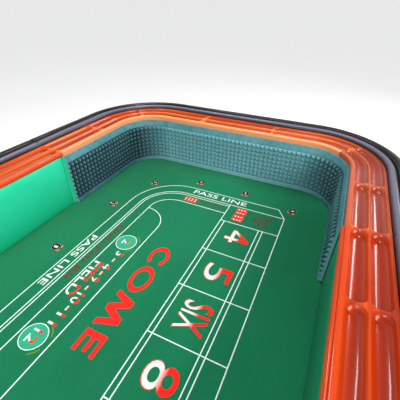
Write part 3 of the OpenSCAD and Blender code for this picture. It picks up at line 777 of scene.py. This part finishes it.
def print_markers():
    """Numbered player spots round the edge, each with two orange dots on its inner side."""
    spots = [(-938, -334), (-1211, -329), (-1420, -260), (-1507, -81), (-1506, 121), (-1465, 320)]
    spots += [(-x, y) for x, y in reversed(spots)]
    sides_from, corners_from = 200, 1400
    for i, (x, y) in enumerate(spots):
        on_side = abs(y) > sides_from
        on_end = not on_side or abs(x) > corners_from
        inward = Vector((-x if on_end else 0.0, -y if on_side else 0.0)).normalized()
        side = Vector((-inward.y, inward.x))
        for way in (-1, 1):
            dot = Vector((x, y)) + inward * 15 + side * (8.5 * way)
            disc("orange", dot.x, dot.y, 5.5, RISE_A, 20)
        disc("black", x, y, 16.5, RISE_B)
        band("white", arc(x, y, 14.2, 14.2, 0, 345, 23), 0.5, RISE_C, closed=True)
        if on_side:
            turn = 0 if y < 0 else 2
        else:
            turn = 1 if x < 0 else 3
        lettering("white", str(i + 1), (x, y), (8 if i < 9 else 15, 14), RISE_C, turn, BOLD)


def print_middle():
    """Generic centre layout: dice boxes with plain odds, one-roll boxes and small lettered discs."""
    w = 236.0
    row_lines = (-98, -20, 56, 132, 206)
    band("white", [(-w, -150), (w, -150), (w, 250), (-w, 250)], LINE_W, RISE_A, closed=True)
    for y in row_lines:
        band("white", [(-w, y), (w, y)], LINE_W, RISE_B)
    band("white", [(0, row_lines[1]), (0, row_lines[-1])], LINE_W, RISE_C)
    for x in (-w / 3, w / 3):
        band("white", [(x, row_lines[0]), (x, row_lines[1])], LINE_W, RISE_C)
    lettering("fade", "SEVEN", (0, 228), (150, 26), RISE_C, weight=BOLD)
    left, right = -w / 2, w / 2
    dice = ((left, 169, 3, 3, "10"), (right, 169, 5, 5, "8"), (left, 94, 4, 4, "10"), (right, 94, 2, 2, "8"),
            (left, 18, 1, 2, "15"), (right, 18, 5, 6, "15"))
    for x, y, first, second, odds in dice:
        die(x - 27, y, 38, 38, first)
        die(x + 27, y, 38, 38, second)
        lettering("white", odds, (x + 84, y), (16 if len(odds) == 1 else 30, 26), RISE_C, weight=BOLD)
    for x, first, second in ((-w * 2 / 3, 1, 1), (0, 6, 6), (w * 2 / 3, 3, 4)):
        die(x - 24, -59, 34, 34, first)
        die(x + 24, -59, 34, 34, second)
    lettering("white", "ANY CRAPS", (0, -124), (190, 24), RISE_C, weight=BOLD)
    for s in (-1, 1):
        for i, letter in enumerate("CEC"):
            x, y = s * 290, 190 - 90 * i
            disc("white", x, y, 24, RISE_A)
            disc("mint", x, y, 21, RISE_B)
            lettering("red", letter, (x, y), (20, 24), RISE_C, weight=BOLD)


def make_prints():
    """Draws every print, and makes one piece of each colour."""
    for s in (-1, 1):
        print_half(s)
    print_markers()
    print_middle()
    inks = {
        "white": ink("ink_white", rgb(226, 246, 236)), "red": ink("ink_red", rgb(255, 34, 24)),
        "maroon": ink("ink_maroon", rgb(112, 42, 40)), "mint": ink("ink_mint", rgb(44, 164, 124)),
        "split": ink("ink_white_red", rgb(232, 246, 240), rgb(250, 34, 26)),
        "fade": ink("ink_fade", rgb(236, 236, 226), rgb(250, 30, 20)),
        "black": ink("ink_black", rgb(16, 16, 26)), "orange": ink("ink_orange", rgb(244, 120, 34)),
        "gold": ink("ink_gold", rgb(110, 140, 20)),
    }
    for colour, (points, faces, tones) in prints.items():
        piece = add_piece("print_" + colour, points, faces, inks[colour], 30.0)
        add_values(piece, "tone", tones)


# ---- bumper rubber ----------------------------------------------------------
PROUD = 0.021              # how far the rubber stands inside the chip rail's edge
PITCH = 0.0184             # from point to point
ROWS = 8
VALLEY = 0.0098            # depth between the points
FOOT_H = 0.019             # plain strip under the points
WALL_T = 0.018             # plywood behind the rubber
# across one point of the moulding: shares of the pitch, and how far up the point they are
POINT = ((0.03, 0.0), (0.45, 1.0), (0.55, 1.0), (0.97, 0.0))


def bumper_rows():
    """Front of the rubber from its foot up.

    Each row is a height, a distance behind the proudest face and how far up a point it is, or None off the
    points. Over the points the face leans back to the chip rail.
    """
    chamfer = 0.003
    field_low = FELT_Z + FOOT_H
    field_high = field_low + PITCH * ROWS + chamfer
    rows = [(FELT_Z, chamfer, None), (FELT_Z + chamfer, 0.0, None), (field_low - chamfer, 0.0, None)]
    rows += [(field_low + PITCH * (j + share), 0.0, up) for j in range(ROWS) for share, up in POINT]
    rows += [(field_high, VALLEY, None)]
    lean = PROUD - 0.004
    for share in (0.25, 0.5, 0.7, 0.86, 0.95):
        z = field_high + (BUMPER_TOP - field_high) * share
        rows.append((z, VALLEY + (lean - VALLEY) * share, None))
    return rows + [(BUMPER_TOP - 0.0008, lean + 0.0006, None), (BUMPER_TOP, lean + 0.0022, None)]


def make_bumper(sx, side):
    """Pyramid rubber round one end and along the sides as far as the vinyl panels."""
    radius = EDGE_R - PROUD
    total = end_length(radius)
    columns = round(total / PITCH)
    step = total / columns
    # the moulding is cut through the middle of a column of points at both ends
    lengths = [(step * (i + share - 0.5), up) for i in range(columns + 1) for share, up in POINT]
    lengths = [(0.0, 1.0)] + lengths[2:-2] + [(total, 1.0)]
    rows = bumper_rows()
    front, behind = -0.0005, CORNER_HIGH[0] - EDGE_X - WALL_T - 0.0001
    back = [(front, BUMPER_TOP), (front, UNDER_RAIL), (behind, UNDER_RAIL), (behind, FELT_Z)]
    rings, depths = [], []
    for length, along in lengths:
        ring = []
        for z, inset, up in rows:
            depth = 0.0 if up is None else 1.0 - min(up, along)
            ring.append((*end_path(sx, length, -PROUD + inset + VALLEY * depth, radius), z))
            depths.append(depth)
        for out, z in back:
            ring.append((*end_path(sx, length, out, radius), z))
            depths.append(0.3)
        rings.append(ring)
    count = len(rows) + len(back)
    faces = []
    for face in ring_faces(count, len(rings)):
        if len(face) != 4 or face[0] % count >= len(rows) - 1:
            faces.append(face)
            continue
        a, b, c, d = face
        if depths[a] == depths[c] and depths[b] != depths[d]:
            # the fold runs up the edge of a point
            faces += [(a, b, d), (b, c, d)]
        else:
            faces += [(a, b, c), (a, c, d)]
    points = [p for ring in rings for p in ring]
    piece = add_piece("bumper_" + side, points, faces, RUBBER, 28.0)
    add_values(piece, "depth", depths)
    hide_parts("rubber_bumper_" + side)


# ---- padded pieces ----------------------------------------------------------
def round_stretch(centre, radius, start, step, count):
    """Points on a round stretch of a section, by even steps of degrees."""
    angles = [math.radians(start + step * i) for i in range(count)]
    return [(centre[0] + radius * math.cos(a), centre[1] + radius * math.sin(a)) for a in angles]


def armrest_profile():
    """Section of the armrest: a roll next to the rail, a pulled-in crease and the wide outer pad."""
    base, top = PAD_LOW[2], PAD_HIGH[2]
    inner = RAIL_WIDTH + 0.0006
    outer = PAD_HIGH[0] - EDGE_X
    roll = 0.0135
    roll_at = (inner + roll, top - 0.003 - roll)
    crease = (roll_at[0] + roll - 0.0006, roll_at[1] + 0.0045)
    shoulder = 0.028
    shoulder_at = (outer - shoulder, top - shoulder)
    reach = shoulder_at[0] - crease[0]
    shape = [(inner + 0.002, base + 0.0004), (inner, base + 0.004), (inner, base + 0.02)]
    shape += round_stretch(roll_at, roll, 180, -14.5, 11)
    shape += [crease, (crease[0] + 0.0012, crease[1] + 0.0004), (crease[0] + 0.0026, crease[1] + 0.0042),
              (crease[0] + 0.3 * reach, top - 0.0032), (crease[0] + 0.62 * reach, top - 0.0008)]
    shape += round_stretch(shoulder_at, shoulder, 90, -7.5, 13)
    shape += [(outer - 0.0002, base + 0.014), (outer - 0.002, base + 0.003), (outer - 0.005, base + 0.0004),
              (outer - 0.03, base + 0.0002), (inner + 0.03, base + 0.0002)]
    return shape


def pad_rings(place, total, spacing):
    """Rings of the armrest along a path, rounded in at both ends and puckered a little along its length."""
    shape = armrest_profile()
    cx = sum(o for o, z in shape) / len(shape)
    cz = PAD_LOW[2] + 0.026
    end = 0.007                    # length of the rounding at each end
    pinch, slack = 0.0045, 0.0007
    closing = [0.0, 0.0006, 0.0018, 0.004, end]
    steps = max(2, round((total - 2 * end) / spacing))
    lengths = closing + [end + (total - 2 * end) * i / steps for i in range(1, steps)]
    lengths += [total - v for v in reversed(closing)]
    rings = []
    for length in lengths:
        near = min(end, length, total - length)
        pull = slack + pinch * (1 - math.sqrt(1 - (1 - near / end) ** 2))
        ring = []
        for o, z in shape:
            x, y = place(length, o)
            broad = noise.noise(Vector((x * 9.0, y * 9.0, z * 14.0))) * 0.0005
            fine = noise.noise(Vector((x * 38.0, y * 38.0, z * 30.0))) * 0.00022
            # the pad hardly gives where it is stapled down
            soft = 1.0 if z > PAD_LOW[2] + 0.008 else 0.15
            d = Vector((o - cx, z - cz))
            d -= d.normalized() * (pull - broad - fine) * soft
            ring.append((*place(length, cx + d.x), max(PAD_LOW[2] + 0.0002, cz + d.y)))
        rings.append(ring)
    return rings


def add_padding(name, node, rings, material):
    """A padded piece in place of its CAD node."""
    points = [p for ring in rings for p in ring]
    piece = add_piece(name, points, ring_faces(len(rings[0]), len(rings)), material, 50.0)
    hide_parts(node)


def make_armrests():
    """Two armrests round the ends and two along the sides."""
    radius = EDGE_R + 0.15
    for sx, side in ((-1, "left"), (1, "right")):
        rings = pad_rings(lambda l, o: end_path(sx, l, o, radius), end_length(radius), 0.012)
        add_padding("pad_" + side, "armrest_" + side, rings, BLACK_VINYL)
    for sy, side in ((-1, "player"), (1, "dealer")):
        rings = pad_rings(lambda l, o: (sy * (l - JOINT_X), sy * (EDGE_Y + o)), 2 * JOINT_X, 0.014)
        add_padding("pad_" + side, "armrest_" + side, rings, BLACK_VINYL)


def make_vinyl_panel(sy, side, material):
    """Upholstered panel: pulled in at its edges, gently crowned between them, with slack ripples."""
    node = "vinyl_panel_" + side
    low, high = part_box(node)
    x0, x1, z0, z1 = low[0], high[0], low[2], high[2]
    front, back = sorted((abs(low[1]), abs(high[1])))
    columns, rows = 190, 22
    crown, pulled_in = 0.0045, 0.0025

    def ease(t, reach):
        t = min(1.0, max(0.0, t / reach))
        return math.sqrt(1 - (1 - t) ** 2)

    rings = []
    for i in range(columns + 1):
        x = x0 + (x1 - x0) * i / columns
        across = ease(x - x0, 0.06) * ease(x1 - x, 0.06)
        ring = []
        for j in range(rows + 1):
            z = z0 + (z1 - z0) * (0.5 - 0.5 * math.cos(math.pi * j / rows))
            lift = across * ease(z - z0, 0.04) * ease(z1 - z, 0.03)
            ripple = noise.noise(Vector((x * 5.0, sy * 3.1, z * 9.0))) * 0.0012
            ripple += noise.noise(Vector((x * 21.0, sy * 7.7, z * 6.0))) * 0.0004
            ring.append((x, sy * (front + pulled_in - lift * (crown + ripple)), z))
        corners = ((EDGE_Y - 0.0005, z1), (EDGE_Y - 0.0005, UNDER_RAIL), (back - 0.0001, UNDER_RAIL),
                   (back - 0.0001, z0))
        ring += [(x, sy * y, z) for y, z in corners]
        rings.append(ring)
    add_padding("panel_" + side, node, rings, material)


make_cloth()
make_prints()
make_bumper(-1, "left")
make_bumper(1, "right")
make_armrests()
make_vinyl_panel(-1, "player", MINT_VINYL)
make_vinyl_panel(1, "dealer", PAINTED_SHADE_VINYL)


# ---- floor, light and camera ------------------------------------------------
def floor_material():
    """Pale studio floor that glows a little."""
    s = Shade("floor")
    cloudy = s.noise(s.place, 1.3, 4.0, 0.6)
    s.surface(Base_Color=s.mix(s.spread(cloudy, 0.3, 0.7), rgb(236, 236, 234), rgb(242, 242, 241)))
    s.surface(Roughness=0.8, Emission_Color=rgb(255, 255, 255), Emission_Strength=0.4)
    return s.mat


FLOOR_R, FLOOR_Z = 400, -0.001
floor_mesh = bpy.data.meshes.new("floor")
floor_corners = [(FLOOR_R * u, FLOOR_R * v, FLOOR_Z) for u, v in ((-1, -1), (1, -1), (1, 1), (-1, 1))]
floor_mesh.from_pydata(floor_corners, [], [(0, 1, 2, 3)])
floor_mesh.materials.append(floor_material())
floor = bpy.data.objects.new("floor", floor_mesh)
bpy.context.scene.collection.objects.link(floor)


def soft_light(name, place, aim, size, power, colour=(1.0, 1.0, 1.0)):
    """A rectangular light at a place, turned toward its aim."""
    data = bpy.data.lights.new(name, "AREA")
    data.shape = "RECTANGLE"
    data.size, data.size_y = size
    data.energy = power
    data.color = colour
    lamp = bpy.data.objects.new(name, data)
    lamp.location = place
    lamp.rotation_euler = (Vector(aim) - Vector(place)).to_track_quat("-Z", "Y").to_euler()
    bpy.context.scene.collection.objects.link(lamp)


soft_light("key", (0.3, 3.0, 2.7), (-1.1, -0.1, 0.8), (2.2, 1.4), 115.0, (1.0, 0.98, 0.95))
soft_light("top", (-1.9, -0.4, 3.4), (-1.5, 0.0, 0.9), (0.35, 2.4), 52.0, (0.93, 0.94, 1.0))
soft_light("far", (-4.5, 2.75, 2.85), (-1.1, 0.6, 0.945), (1.9, 0.9), 75.0, (0.96, 0.96, 1.0))
soft_light("end_fill", (1.5, 0.2, 2.0), (-1.64, 0.0, 0.8), (1.0, 0.6), 20.0)
soft_light("low_fill", (2.6, -3.0, 0.9), (0.0, 0.0, 0.5), (2.2, 0.9), 40.0)

# the sky is bright low down and dims toward straight above
SKY_LOW, SKY_HIGH = 0.3, 0.62
BRIGHT, DIM = 0.96, 0.31
world = bpy.data.worlds.new("studio")
world.use_nodes = True
sky = world.node_tree
ray = sky.nodes.new("ShaderNodeTexCoord")
parts = sky.nodes.new("ShaderNodeSeparateXYZ")
fade = sky.nodes.new("ShaderNodeMapRange")
sky.links.new(ray.outputs["Generated"], parts.inputs[0])
sky.links.new(parts.outputs[2], fade.inputs["Value"])
for key, number in zip(("From Min", "From Max", "To Min", "To Max"), (SKY_LOW, SKY_HIGH, BRIGHT, DIM)):
    fade.inputs[key].default_value = number
sky.links.new(fade.outputs["Result"], sky.nodes["Background"].inputs["Strength"])
sky.nodes["Background"].inputs["Color"].default_value = (0.97, 0.98, 1.0, 1.0)
bpy.context.scene.world = world
bpy.context.scene.view_settings.view_transform = "Standard"

# the camera stands over the dealers' side and looks down into the left end, as in the photo
camera_data = bpy.data.cameras.new("camera")
camera_data.sensor_width = 36.0
camera_data.lens = 26.71
camera = bpy.data.objects.new("camera", camera_data)
right = Vector((-0.4258, 0.90479, 0.00658)).normalized()
back = Vector((0.74585, 0.34686, 0.56868))
up = back.cross(right).normalized()
back = right.cross(up).normalized()
turned = Matrix((right, up, back)).transposed().to_4x4()
turned.translation = Vector((-0.4972, 0.3832, 1.3916))
camera.matrix_world = turned
bpy.context.scene.collection.objects.link(camera)
bpy.context.scene.camera = camera
